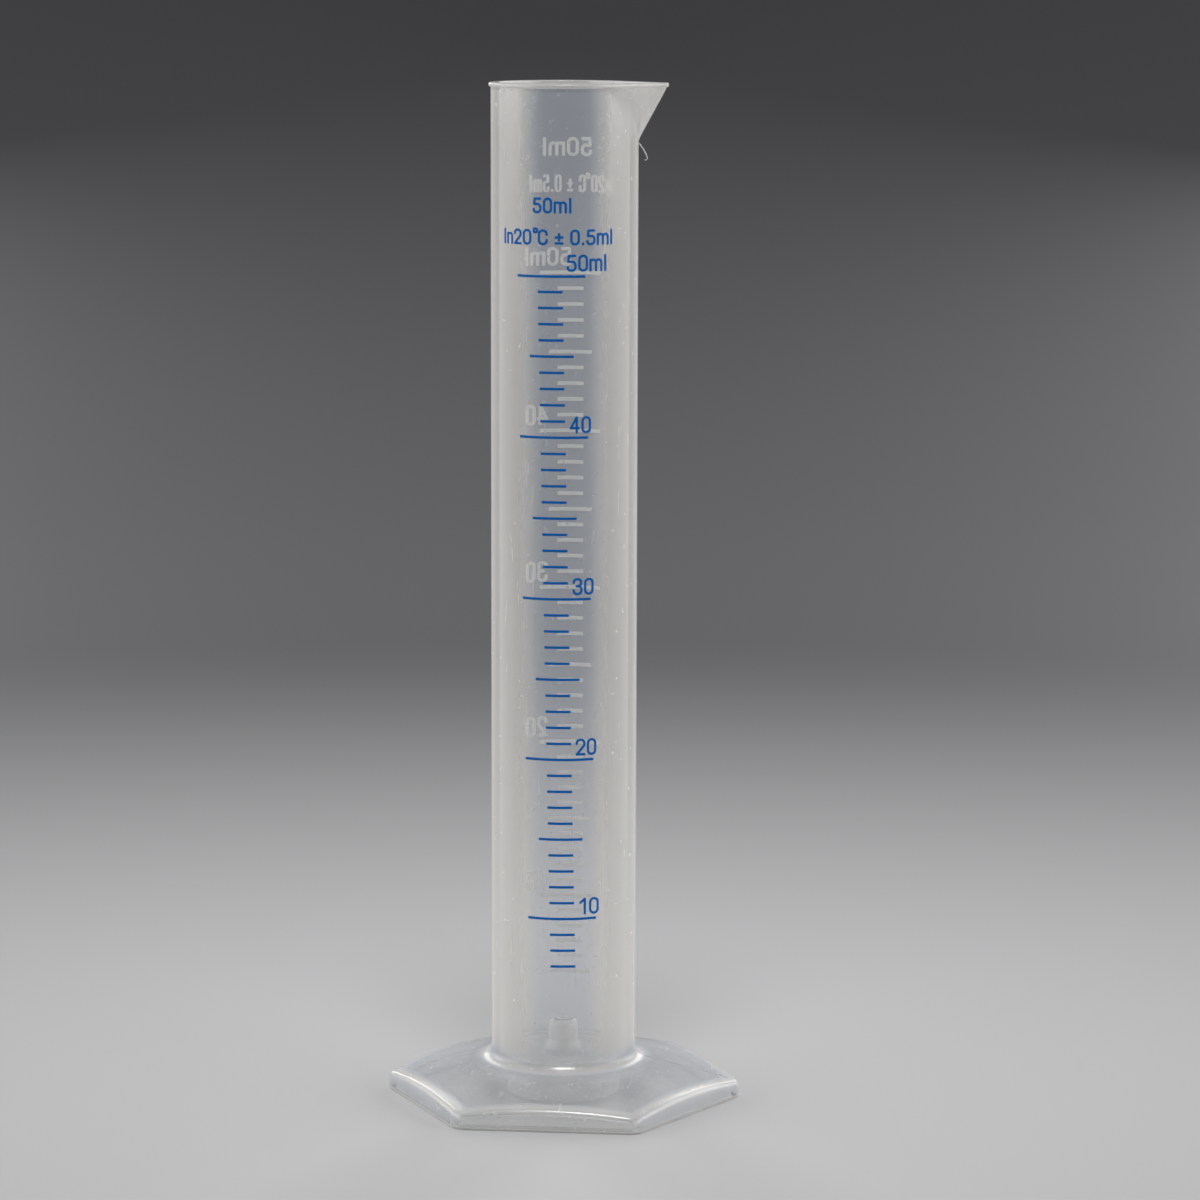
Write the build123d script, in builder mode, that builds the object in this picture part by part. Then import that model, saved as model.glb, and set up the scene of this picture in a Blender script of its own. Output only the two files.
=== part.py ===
from build123d import *
import os
from math import asin, cos, degrees, pi, radians, sin, sqrt

# Graduated cylinder, 50 ml, moulded in one shot from polypropylene, with a printed scale.
# Frame: origin on the tube's axis at the surface it stands on, +Z up, spout towards +X.
# The printed scale faces -Y, the moulded scale faces +Y, and the mould parts along the XZ plane.

# Driving dimensions, in mm and degrees
HEIGHT = 171.65
TUBE_R = 12.2
WALL = 1.32
BORE_R = TUBE_R - WALL
CUTTER_HEIGHT = 3 * HEIGHT  # a round cutter this tall passes the whole object

FOOT_CORNER_R = 30.56       # to the hexagon's sharp corner, at the bottom edge
FOOT_CORNER_ROUND = 2.8
FOOT_DRAFT = 2.0
FOOT_SLOPE = 0.245          # fall of the coned top for each mm of radius
FOOT_ROOT_Z = 7.12          # height where the cone would meet the tube
FOOT_ROOT_FILLET = 2.5
FOOT_EDGE_ROUND = 1.15
FOOT_WALL = 1.35
FOOT_MIDWAY_R = (TUBE_R + FOOT_CORNER_R) / 2
HALF_SIDE_DEG = 30          # half of the angle that one side of a hexagon spans
COLLAR_TOP_Z = 9.6          # the foot's collar ends here and the barrel begins

FLOOR_TOP_Z = 7.0
FLOOR_UNDER_Z = 5.7
FLOOR_CORNER_ROUND = 1.0
RING_TOP_R = 10.0
RING_BOTTOM_R = 9.6
RING_WALL = 1.2
RING_BOTTOM_Z = 0.6
RING_EDGE_ROUND = 0.4

BOSS_BASE_R = 3.4
BOSS_R = 2.45
BOSS_SHOULDER_Z = 9.3
BOSS_TOP_Z = 12.75
BOSS_STEP = 0.5             # height of the boss's straight foot
BOSS_FLARE = 0.1            # how much wider its shoulder is than its top
BOSS_ROUNDS = [0, 0.3, 1.5, 0.9]        # from the floor up
GATE_WELL_R = 1.3
GATE_WELL_TOP_Z = 11.3

BEAD_PROUD = 0.4
BEAD_HEIGHT = 0.7
BEAD_ROUND = 0.25
LIP_Z = HEIGHT - BEAD_HEIGHT
SPOUT_TIP_R = 16.9          # without the bead
SPOUT_TIP_ROUND = 0.8
SPOUT_TIP_WALL = 1.15
SPOUT_BASE_Z = 162.3        # where the spout's ridge leaves the tube
POUR_TIP_R = SPOUT_TIP_R - SPOUT_TIP_WALL
POUR_TIP_ROUND = 0.4
BEAK_OVERRUN = 0.5          # how far the beak's form runs on inside the bore

PARTING_PROUD = 0.12
PARTING_WIDTH = 0.3

# Scale: one millilitre of bore, and where each scale's 50 ml line stands
ML_PITCH = 1000 / (pi * BORE_R**2)
INK_TOP_LINE_Z = 140.4
INK_FIRST_ML = 7
INK_BOW = 1.0               # the print's lines stand above even spacing by at most 0.385 of this
INK_THICK = 0.06
INK_LINE = 0.42
INK_PEN = 0.4
INK_SLANT = -0.094          # degrees of azimuth that a line's middle shifts for each mm up
INK_CENTRE_DEG = 8.0        # azimuth of a line's middle at the table's height
INK_ONE_ARC = 19.5          # lengths of the printed lines, in degrees round the tube
INK_FIVE_ARC = 34.7
INK_TEN_ARC = 55
INK_NUMERAL_SPAN = (13, 30)             # from the middle of the line it stands on
INK_NUMERAL_RISE = 0.7
INK_NUMERAL_HEIGHT = 2.85
INK_UNIT_SPAN = (13, 46)
INK_UNIT_RISE = 0.8
INK_UNIT_HEIGHT = 2.8
INK_TEXT_HEIGHT = 2.6
INK_CAPACITY_SPAN = (-109, -78)
INK_CAPACITY_Z = 150.7
INK_TOLERANCE_SPAN = (-138, -43.5)
INK_TOLERANCE_Z = 145.5
RELIEF_TOP_LINE_Z = 139.3
RELIEF_FIRST_ML = 5
RELIEF_PROUD = 0.25
RELIEF_LINE = 0.6
RELIEF_PEN = 0.55
RELIEF_FINE_PEN = 0.45      # for the tolerance, which has the narrowest characters
RELIEF_CENTRE_DEG = 91.2
RELIEF_ONE_ARC = 20.5
RELIEF_FIVE_ARC = 34.2
RELIEF_TEN_ARC = 49
RELIEF_NUMERAL_SPAN = (18, 37)
RELIEF_NUMERAL_RISE = 0.9
RELIEF_NUMERAL_HEIGHT = 3.6
RELIEF_UNIT_SPAN = (-1, 38)
RELIEF_UNIT_RISE = 1.1
RELIEF_TEXT_HEIGHT = 3.2
RELIEF_CAPACITY_SPAN = (74, 114)
RELIEF_CAPACITY_Z = 158.9
RELIEF_TOLERANCE_SPAN = (54, 125)
RELIEF_TOLERANCE_Z = 152.8
RELIEF_TOLERANCE_HEIGHT = 3.0

TOP_ML = 50
CAPACITY = f"{TOP_ML}ml"
TOLERANCE = "In20°C ± 0.5ml"

# Lettering: strokes of each character on a cell one unit high, as (points, corner radius)
X_HEIGHT = 0.72
BOWL = 0.27
GLYPHS = {
    "0": (0.56, [([(0.28, 1), (0, 1), (0, 0), (0.28, 0)], BOWL),
                 ([(0.28, 1), (0.56, 1), (0.56, 0), (0.28, 0)], BOWL)]),
    "1": (0.48, [([(0.06, 0.76), (0.36, 1), (0.36, 0)], 0)]),
    "2": (0.56, [([(0, 0.74), (0, 1), (0.56, 1), (0.56, 0.62), (0, 0), (0.56, 0)],
                  [0.24, 0.26, 0.2, 0])]),
    "3": (0.56, [([(0, 0.78), (0, 1), (0.53, 1), (0.53, 0.53), (0.2, 0.53)],
                  [0.2, 0.22, 0.22]),
                 ([(0.2, 0.53), (0.56, 0.53), (0.56, 0), (0, 0), (0, 0.24)],
                  [0.25, 0.25, 0.22])]),
    "4": (0.6, [([(0.44, 0), (0.44, 1)], 0),
                ([(0.44, 1), (0, 0.28)], 0),
                ([(0, 0.28), (0.6, 0.28)], 0)]),
    "5": (0.56, [([(0.52, 1), (0.07, 1), (0.04, 0.6)], 0),
                 ([(0.04, 0.6), (0.56, 0.6), (0.56, 0), (0, 0), (0, 0.22)],
                  [0.26, 0.26, 0.2])]),
    "C": (0.62, [([(0.6, 0.7), (0.6, 1), (0, 1), (0, 0), (0.6, 0), (0.6, 0.3)],
                  [0.27, 0.29, 0.29, 0.27])]),
    "I": (0.1, [([(0.05, 0), (0.05, 1)], 0)]),
    "l": (0.1, [([(0.05, 0), (0.05, 1)], 0)]),
    "m": (0.86, [([(0, 0), (0, X_HEIGHT)], 0),
                ([(0, 0.4), (0, X_HEIGHT), (0.43, X_HEIGHT), (0.43, 0)], 0.19),
                ([(0.43, 0.4), (0.43, X_HEIGHT), (0.86, X_HEIGHT), (0.86, 0)], 0.19)]),
    "n": (0.46, [([(0, 0), (0, X_HEIGHT)], 0),
                 ([(0, 0.4), (0, X_HEIGHT), (0.46, X_HEIGHT), (0.46, 0)], 0.2)]),
    "°": (0.14, [([(0.14, 1.14), (0, 1.14), (0, 0.86), (0.14, 0.86)], 0.13),
                 ([(0.14, 1.14), (0.28, 1.14), (0.28, 0.86), (0.14, 0.86)], 0.13)]),
    "±": (0.5, [([(0, 0.5), (0.5, 0.5)], 0),
                ([(0.25, 0.26), (0.25, 0.74)], 0),
                ([(0, 0.06), (0.5, 0.06)], 0)]),
    ".": (0.1, [([(0.05, 0), (0.05, 0.04)], 0)]),
    " ": (0.1, []),
}
LETTER_GAP = 0.1            # clear of the strokes' own width


def cone_z(radius):
    """Height of the foot's coned top at this radius."""
    return FOOT_ROOT_Z - FOOT_SLOPE * (radius - TUBE_R)


def side_plane(azimuth):
    """Plane through the tube's axis, whose x runs outwards at this azimuth and whose y runs up."""
    outwards = (cos(radians(azimuth)), sin(radians(azimuth)), 0)
    across = (sin(radians(azimuth)), -cos(radians(azimuth)), 0)
    return Plane(origin=(0, 0, 0), x_dir=outwards, z_dir=across)


def facing_plane(azimuth, height, left):
    """Plane square to a radius inside the tube's wall. Its x runs to the reader's right."""
    outwards = Vector(cos(radians(azimuth)), sin(radians(azimuth)), 0)
    rightwards = Vector(-sin(radians(azimuth)), cos(radians(azimuth)), 0)
    origin = outwards * (TUBE_R - WALL / 2) - rightwards * left + Vector(0, 0, height)
    return Plane(origin=origin, x_dir=rightwards, z_dir=outwards)


def bars(lines, width, bar_height, proud):
    """Graduations of one length, bent round the tube: each line is its height and azimuth."""
    with BuildPart() as graduations:
        for height, azimuth in lines:
            with BuildSketch(side_plane(azimuth - width / 2)):
                with Locations((TUBE_R + proud / 2, height)):
                    Rectangle(proud, bar_height)
            revolve(axis=Axis.Z, revolution_arc=width)
    return graduations.part


def character(strokes, cell_width, cell_height, pen):
    """Round-ended strokes of one character, as a flat sketch."""
    with BuildSketch() as outline:
        for points, radius in strokes:
            placed = [(x * cell_width, y * cell_height) for x, y in points]
            size = min(cell_width, cell_height)
            rounds = [size * r for r in radius] if isinstance(radius, list) else size * radius
            with BuildLine(mode=Mode.PRIVATE) as stroke:
                if radius:
                    FilletPolyline(*placed, radius=rounds)
                else:
                    Polyline(*placed)
            SlotArc(stroke.wire(), pen)
    return outline.sketch


def lettering(text, span, base_z, height, pen, proud, middle=0):
    """Characters that stand proud of the tube, spread over a span of azimuths from a middle."""
    first_deg = middle + span[0]
    last_deg = middle + span[1]
    cells = sum(GLYPHS[letter][0] for letter in text) + LETTER_GAP * (len(text) - 1)
    cell_width = (radians(last_deg - first_deg) * TUBE_R - pen * len(text)) / cells
    cursor = pen / 2
    with BuildPart() as word:
        for letter in text:
            width, strokes = GLYPHS[letter]
            width *= cell_width
            azimuth = first_deg + degrees((cursor + width / 2) / TUBE_R)
            cursor += width + pen + LETTER_GAP * cell_width
            if strokes:
                with BuildSketch(facing_plane(azimuth, base_z + pen / 2, width / 2)):
                    add(character(strokes, cell_width, height - pen, pen))
                extrude(amount=WALL)
        Cylinder(TUBE_R + proud, CUTTER_HEIGHT, mode=Mode.INTERSECT)
        Cylinder(TUBE_R, CUTTER_HEIGHT, mode=Mode.SUBTRACT)
    return word.part


def ink_centre(height):
    """Azimuth of the printed lines' middle: the print runs slightly askew up the tube."""
    return -90 + INK_CENTRE_DEG + INK_SLANT * height


def multiples(first_ml, every, skip=None):
    """Graduations that are multiples of one step and not of the next one up."""
    return [ml for ml in range(first_ml, TOP_ML + 1) if ml % every == 0 and (not skip or ml % skip)]


def ink_height(ml):
    """Height of a printed line. The print is packed a little closer towards the top."""
    down = (TOP_ML - ml) / (TOP_ML - INK_FIRST_ML)
    return INK_TOP_LINE_Z - ML_PITCH * (TOP_ML - ml) + INK_BOW * sqrt(down) * (1 - down)


def ink_lines(every, skip=None):
    heights = [ink_height(ml) for ml in multiples(INK_FIRST_ML, every, skip)]
    return [(height, ink_centre(height)) for height in heights]


def relief_lines(every, skip=None):
    marks = multiples(RELIEF_FIRST_ML, every, skip)
    return [(RELIEF_TOP_LINE_Z - ML_PITCH * (TOP_ML - ml), RELIEF_CENTRE_DEG) for ml in marks]


def finish(piece, name):
    piece.part.label = name
    export_step(piece.part, f"parts/{name}.step")


os.makedirs("parts", exist_ok=True)


# ---- Foot -------------------------------------------------------------------------------------

# Outer form: a drafted hexagon under a cone that sweeps up into the tube
with BuildPart() as foot_form:
    with BuildSketch():
        RegularPolygon(FOOT_CORNER_R, 6)
        fillet(vertices(), FOOT_CORNER_ROUND)
    extrude(amount=COLLAR_TOP_Z, taper=FOOT_DRAFT)
    with BuildSketch(Plane.XZ):
        with BuildLine():
            FilletPolyline((TUBE_R, COLLAR_TOP_Z), (TUBE_R, FOOT_ROOT_Z),
                           (FOOT_CORNER_R, cone_z(FOOT_CORNER_R)), radius=FOOT_ROOT_FILLET)
            Polyline((FOOT_CORNER_R, cone_z(FOOT_CORNER_R)), (FOOT_CORNER_R, 0), (0, 0),
                     (0, COLLAR_TOP_Z), (TUBE_R, COLLAR_TOP_Z))
        make_face()
    revolve(mode=Mode.INTERSECT)
    rim_top = foot_form.faces().filter_by(GeomType.CONE).sort_by(SortBy.AREA)[-1]
    outer_edges = [edge for edge in rim_top.edges() if edge.center().Z < cone_z(FOOT_MIDWAY_R)]
    fillet(outer_edges, FOOT_EDGE_ROUND)

# Hollow underneath, parallel to the outer form
HOLLOW_CORNER_R = FOOT_CORNER_R - FOOT_WALL / cos(radians(HALF_SIDE_DEG))
with BuildPart() as foot_hollow:
    with BuildSketch():
        RegularPolygon(HOLLOW_CORNER_R, 6)
        fillet(vertices(), FOOT_CORNER_ROUND - FOOT_WALL)
    extrude(amount=FLOOR_UNDER_Z, taper=FOOT_DRAFT)
    with BuildSketch(Plane.XZ):
        hollow_rim_z = cone_z(FOOT_CORNER_R) - FOOT_WALL * sqrt(1 + FOOT_SLOPE**2)
        hollow_root_r = FOOT_CORNER_R - (FLOOR_UNDER_Z - hollow_rim_z) / FOOT_SLOPE
        with BuildLine():
            Polyline((0, 0), (FOOT_CORNER_R, 0), (FOOT_CORNER_R, hollow_rim_z),
                     (hollow_root_r, FLOOR_UNDER_Z), (0, FLOOR_UNDER_Z), close=True)
        make_face()
    revolve(mode=Mode.INTERSECT)

with BuildPart() as foot_shell:
    add(foot_form.part)
    add(foot_hollow.part, mode=Mode.SUBTRACT)
    Cylinder(BORE_R, 2 * COLLAR_TOP_Z, mode=Mode.SUBTRACT)
finish(foot_shell, "foot_shell")

with BuildPart() as support_ring:
    with BuildSketch(Plane.XZ):
        with BuildLine():
            Polyline((RING_TOP_R, FLOOR_UNDER_Z), (RING_BOTTOM_R, RING_BOTTOM_Z),
                     (RING_BOTTOM_R - RING_WALL, RING_BOTTOM_Z),
                     (RING_TOP_R - RING_WALL, FLOOR_UNDER_Z), close=True)
        make_face()
        fillet(vertices().group_by(Axis.Y)[0], RING_EDGE_ROUND)
    revolve()
finish(support_ring, "support_ring")


# ---- Floor ------------------------------------------------------------------------------------

with BuildPart() as barrel_floor:
    with BuildSketch(Plane.XZ):
        with BuildLine():
            Polyline((GATE_WELL_R, FLOOR_UNDER_Z), (BORE_R, FLOOR_UNDER_Z),
                     (BORE_R, FLOOR_TOP_Z + FLOOR_CORNER_ROUND))
            RadiusArc((BORE_R, FLOOR_TOP_Z + FLOOR_CORNER_ROUND),
                      (BORE_R - FLOOR_CORNER_ROUND, FLOOR_TOP_Z), FLOOR_CORNER_ROUND)
            Polyline((BORE_R - FLOOR_CORNER_ROUND, FLOOR_TOP_Z), (GATE_WELL_R, FLOOR_TOP_Z),
                     (GATE_WELL_R, FLOOR_UNDER_Z))
        make_face()
    revolve()
finish(barrel_floor, "barrel_floor")

with BuildPart() as gate_boss:
    with BuildSketch(Plane.XZ):
        with BuildLine():
            FilletPolyline((0, FLOOR_TOP_Z), (BOSS_BASE_R, FLOOR_TOP_Z),
                           (BOSS_BASE_R, FLOOR_TOP_Z + BOSS_STEP),
                           (BOSS_R + BOSS_FLARE, BOSS_SHOULDER_Z),
                           (BOSS_R, BOSS_TOP_Z), (0, BOSS_TOP_Z), radius=BOSS_ROUNDS)
            Line((0, BOSS_TOP_Z), (0, FLOOR_TOP_Z))
        make_face()
    revolve()
    with BuildSketch(Plane.XY.offset(FLOOR_TOP_Z)):
        Circle(GATE_WELL_R)
    extrude(amount=GATE_WELL_TOP_Z - FLOOR_TOP_Z, mode=Mode.SUBTRACT)
finish(gate_boss, "gate_boss")


# ---- Barrel, spout and rim --------------------------------------------------------------------

# The beak is a V seen from above. Below the lip it leans along the ridge, down into the wall.
RIDGE = Vector(SPOUT_TIP_R - TUBE_R, 0, LIP_Z - SPOUT_BASE_Z)
RIDGE_LENGTH = RIDGE.length * (SPOUT_TIP_R - BORE_R + BEAK_OVERRUN) / (SPOUT_TIP_R - TUBE_R)


def beak(tip_r, tangent_r, tip_round):
    """V with a rounded tip, whose flanks touch a circle round the tube's axis."""
    sharp_r = (tip_r - tip_round) / (1 - tip_round / tangent_r)
    half_angle = asin(tangent_r / sharp_r)
    touch_x = tangent_r * sin(half_angle)
    touch_y = tangent_r * cos(half_angle)
    with BuildSketch() as outline:
        with BuildLine():
            FilletPolyline((0, 0), (touch_x, touch_y), (sharp_r, 0), (touch_x, -touch_y),
                           radius=[0, tip_round])
            Line((touch_x, -touch_y), (0, 0))
        make_face()
    return outline.sketch


with BuildPart() as beak_form:
    with BuildSketch(Plane.XY.offset(LIP_Z)) as beak_top:
        add(beak(SPOUT_TIP_R, TUBE_R, SPOUT_TIP_ROUND))
    extrude(amount=BEAD_HEIGHT)
    extrude(beak_top.sketch, amount=RIDGE_LENGTH, dir=-RIDGE.normalized())

with BuildPart() as pour_channel:
    with BuildSketch(Plane.XY.offset(LIP_Z)) as channel_top:
        add(beak(POUR_TIP_R, BORE_R, POUR_TIP_ROUND))
    extrude(amount=BEAD_HEIGHT)
    extrude(channel_top.sketch, amount=RIDGE_LENGTH, dir=-RIDGE.normalized())

with BuildPart() as pouring_spout:
    add(beak_form.part)
    add(pour_channel.part, mode=Mode.SUBTRACT)
    Cylinder(BORE_R, CUTTER_HEIGHT, mode=Mode.SUBTRACT)
finish(pouring_spout, "pouring_spout")

with BuildPart() as barrel:
    with BuildSketch(Plane.XY.offset(COLLAR_TOP_Z)):
        Circle(TUBE_R)
        Circle(BORE_R, mode=Mode.SUBTRACT)
    extrude(amount=HEIGHT - COLLAR_TOP_Z)
    add(beak_form.part, mode=Mode.SUBTRACT)
finish(barrel, "barrel")

with BuildPart() as rim_bead:
    with BuildSketch(Plane.XY.offset(LIP_Z)):
        Circle(TUBE_R)
        add(beak(SPOUT_TIP_R, TUBE_R, SPOUT_TIP_ROUND))
        offset(amount=BEAD_PROUD)
    extrude(amount=BEAD_HEIGHT)
    fillet(edges().group_by(Axis.Z)[-1], BEAD_ROUND)
    Cylinder(TUBE_R, CUTTER_HEIGHT, mode=Mode.SUBTRACT)
    add(beak_form.part, mode=Mode.SUBTRACT)
finish(rim_bead, "rim_bead")


# ---- Parting line -----------------------------------------------------------------------------

PARTING_END_R = FOOT_CORNER_R - FOOT_CORNER_ROUND

with BuildPart() as parting_line:
    with BuildSketch(Plane.XZ):
        with BuildLine():
            FilletPolyline((-TUBE_R, LIP_Z), (-TUBE_R, FOOT_ROOT_Z),
                           (-PARTING_END_R, cone_z(PARTING_END_R)), radius=FOOT_ROOT_FILLET)
        trace(line_width=2 * PARTING_PROUD)
    with BuildSketch(Plane.XZ):
        with BuildLine():
            FilletPolyline((TUBE_R, SPOUT_BASE_Z), (TUBE_R, FOOT_ROOT_Z),
                           (PARTING_END_R, cone_z(PARTING_END_R)), radius=FOOT_ROOT_FILLET)
        trace(line_width=2 * PARTING_PROUD)
    extrude(amount=PARTING_WIDTH / 2, both=True)
    add(foot_form.part, mode=Mode.SUBTRACT)
    Cylinder(TUBE_R, CUTTER_HEIGHT, mode=Mode.SUBTRACT)
finish(parting_line, "parting_line")


# ---- Printed scale ----------------------------------------------------------------------------

with BuildPart() as ink_one_ml_marks:
    add(bars(ink_lines(1, 5), INK_ONE_ARC, INK_LINE, INK_THICK))
finish(ink_one_ml_marks, "ink_one_ml_marks")

with BuildPart() as ink_five_ml_marks:
    add(bars(ink_lines(5, 10), INK_FIVE_ARC, INK_LINE, INK_THICK))
finish(ink_five_ml_marks, "ink_five_ml_marks")

with BuildPart() as ink_ten_ml_marks:
    add(bars(ink_lines(10), INK_TEN_ARC, INK_LINE, INK_THICK))
finish(ink_ten_ml_marks, "ink_ten_ml_marks")

with BuildPart() as ink_numerals:
    for ml, (line_z, middle) in zip(range(10, TOP_ML, 10), ink_lines(10)):
        add(lettering(str(ml), INK_NUMERAL_SPAN, line_z + INK_NUMERAL_RISE, INK_NUMERAL_HEIGHT,
                      INK_PEN, INK_THICK, middle))
finish(ink_numerals, "ink_numerals")

with BuildPart() as ink_unit_label:
    add(lettering(CAPACITY, INK_UNIT_SPAN, INK_TOP_LINE_Z + INK_UNIT_RISE, INK_UNIT_HEIGHT,
                  INK_PEN, INK_THICK, ink_centre(INK_TOP_LINE_Z)))
finish(ink_unit_label, "ink_unit_label")

with BuildPart() as ink_capacity:
    add(lettering(CAPACITY, INK_CAPACITY_SPAN, INK_CAPACITY_Z, INK_TEXT_HEIGHT, INK_PEN, INK_THICK))
finish(ink_capacity, "ink_capacity")

with BuildPart() as ink_tolerance:
    add(lettering(TOLERANCE, INK_TOLERANCE_SPAN, INK_TOLERANCE_Z, INK_TEXT_HEIGHT,
                  INK_PEN, INK_THICK))
finish(ink_tolerance, "ink_tolerance")


# ---- Moulded scale ----------------------------------------------------------------------------

with BuildPart() as relief_one_ml_marks:
    add(bars(relief_lines(1, 5), RELIEF_ONE_ARC, RELIEF_LINE, RELIEF_PROUD))
finish(relief_one_ml_marks, "relief_one_ml_marks")

with BuildPart() as relief_five_ml_marks:
    add(bars(relief_lines(5, 10), RELIEF_FIVE_ARC, RELIEF_LINE, RELIEF_PROUD))
finish(relief_five_ml_marks, "relief_five_ml_marks")

with BuildPart() as relief_ten_ml_marks:
    add(bars(relief_lines(10), RELIEF_TEN_ARC, RELIEF_LINE, RELIEF_PROUD))
finish(relief_ten_ml_marks, "relief_ten_ml_marks")

with BuildPart() as relief_numerals:
    for ml, (line_z, middle) in zip(range(10, TOP_ML, 10), relief_lines(10)):
        add(lettering(str(ml), RELIEF_NUMERAL_SPAN, line_z + RELIEF_NUMERAL_RISE,
                      RELIEF_NUMERAL_HEIGHT, RELIEF_PEN, RELIEF_PROUD, middle))
finish(relief_numerals, "relief_numerals")

with BuildPart() as relief_unit_label:
    add(lettering(CAPACITY, RELIEF_UNIT_SPAN, RELIEF_TOP_LINE_Z + RELIEF_UNIT_RISE,
                  RELIEF_TEXT_HEIGHT, RELIEF_PEN, RELIEF_PROUD, RELIEF_CENTRE_DEG))
finish(relief_unit_label, "relief_unit_label")

with BuildPart() as relief_capacity:
    add(lettering(CAPACITY, RELIEF_CAPACITY_SPAN, RELIEF_CAPACITY_Z, RELIEF_TEXT_HEIGHT,
                  RELIEF_PEN, RELIEF_PROUD))
finish(relief_capacity, "relief_capacity")

with BuildPart() as relief_tolerance:
    add(lettering(TOLERANCE, RELIEF_TOLERANCE_SPAN, RELIEF_TOLERANCE_Z, RELIEF_TOLERANCE_HEIGHT,
                  RELIEF_FINE_PEN, RELIEF_PROUD))
finish(relief_tolerance, "relief_tolerance")
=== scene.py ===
import math

import bpy
import numpy as np
from mathutils import Matrix, Vector


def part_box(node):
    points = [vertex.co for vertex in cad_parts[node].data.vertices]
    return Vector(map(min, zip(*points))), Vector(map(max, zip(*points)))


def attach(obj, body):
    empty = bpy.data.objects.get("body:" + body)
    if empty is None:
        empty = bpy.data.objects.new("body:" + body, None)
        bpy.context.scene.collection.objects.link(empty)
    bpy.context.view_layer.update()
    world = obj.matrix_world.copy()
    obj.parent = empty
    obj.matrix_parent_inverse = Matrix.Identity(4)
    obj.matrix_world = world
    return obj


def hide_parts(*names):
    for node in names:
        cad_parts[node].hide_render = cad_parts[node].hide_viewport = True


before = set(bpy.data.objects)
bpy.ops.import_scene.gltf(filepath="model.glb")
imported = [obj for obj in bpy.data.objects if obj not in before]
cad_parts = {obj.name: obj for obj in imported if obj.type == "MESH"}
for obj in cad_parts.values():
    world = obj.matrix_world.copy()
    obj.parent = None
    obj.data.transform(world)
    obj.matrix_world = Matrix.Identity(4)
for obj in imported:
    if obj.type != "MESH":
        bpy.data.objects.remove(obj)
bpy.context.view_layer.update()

# Looks of a 50 ml graduated cylinder moulded from translucent polypropylene.
# Shapes are worked out in millimetres, in the row frame, and turned into metres as a mesh is made.
MM = 0.001


def box_mm(node):
    low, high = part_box(node)
    return low / MM, high / MM


# ---- Sizes read from the frame, and those that its boxes don't say ------------------------------

_, barrel_high = box_mm("barrel")
floor_low, floor_high = box_mm("barrel_floor")
_, foot_high = box_mm("foot_shell")
_, boss_high = box_mm("gate_boss")
ring_low, ring_high = box_mm("support_ring")
bead_low, bead_high = box_mm("rim_bead")

HEIGHT = barrel_high.z
TUBE_R = barrel_high.x
BORE_R = floor_high.x
FLOOR_UNDER = floor_low.z
FLOOR_CORNER = 1.0
FLOOR_TOP = floor_high.z - FLOOR_CORNER
LIP = bead_low.z
BEAD = bead_high.y - TUBE_R

SPOUT_TIP = bead_high.x - BEAD
SPOUT_TIP_ROUND = 0.8
SPOUT_BASE = 162.3
RIDGE_LEAN = (SPOUT_TIP - TUBE_R) / (LIP - SPOUT_BASE)
POUR_TIP = SPOUT_TIP - 1.15
POUR_TIP_ROUND = 0.4
CREASE = 0.35                   # how softly the beak's flanks run into the tube
BEAK_FALL = 6                   # how fast a flank's line drops past the place where it touches the tube
SPOUT_RUN_OUT = 3               # rings are closer together from this far below the spout's base

FOOT_APOTHEM = foot_high.y
FOOT_CORNER_ROUND = 2.8
FOOT_DRAFT = math.tan(math.radians(2.0))
FOOT_SLOPE = 0.245
FOOT_ROOT = 7.12
FOOT_ROOT_FILLET = 2.5
FOOT_EDGE = 1.15
FOOT_WALL = 1.35
FOOT_RIM_ROUND = 0.22
FOOT_RIM_RINGS = 4
FOOT_CEILING_ROUND = 0.45       # inner corner between the hollow's side and its ceiling
HALF_SIDE = math.radians(30)    # half of the angle that one side of a hexagon spans

RING_TOP_R = ring_high.x
RING_BOTTOM_R = 9.6
RING_WALL = 1.2
BOSS_R = 2.45
BOSS_BASE_R = boss_high.x
BOSS_TOP = boss_high.z
BOSS_SHOULDER = 9.3
BOSS_STEP = 0.5
BOSS_FLARE = 0.1
BOSS_ROUNDS = [0.9, 1.5, 0.3, 0.2]      # top edge, shoulder, edge of the step, root of the step
WELL_R = 1.3
WELL_TOP = 11.3
# The ring's outer root, its two lower edges and its inner root, then the well's mouth and the well's top
UNDERSIDE_ROUNDS = [0.3, 0.4, 0.4, 0.3, 0.2, 0.6]

LIP_ROUND = 0.15
BEAD_ROUND = 0.25
BEAD_FILLET_OUT = 0.06          # the small fillet between the bead and the wall under it
BEAD_FILLET_DOWN = 0.08

PARTING_PROUD = 0.12
PARTING_HALF = 0.15
PARTING_END = box_mm("parting_line")[1].x       # it stops at the foot's rounded edge
PARTING_RUN_OUT = 0.5
PARTING_MARGIN = 0.06           # its flanks end this far outside PARTING_HALF
PARTING_FLANK = 0.1

# A whisker of flash left hanging where the spout's ridge meets the parting line
FLASH_PATH = [(12.0, 0, 162.0), (12.7, 0, 161.3), (13.2, 0, 160.6), (13.6, 0, 159.8),
              (13.8, 0, 159.2), (13.6, 0, 158.9), (13.3, 0, 159.0)]
FLASH_RADIUS = 0.13
FLASH_TAPER = 0.6

# How closely the skin is sampled
SPOUT_RINGS = 34                # between the lip and a little below the spout's base
TUBE_RINGS = 16                 # along the plain tube
LEG = 6                         # straight stretch beside a rounded corner: its length changes no shape
ABOVE_ROOT = 4                  # the lowest plain ring outside stands this far above the fillet


# ---- Outlines ----------------------------------------------------------------------------------

def cone_z(radius):
    return FOOT_ROOT - FOOT_SLOPE * (radius - TUBE_R)


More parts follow.
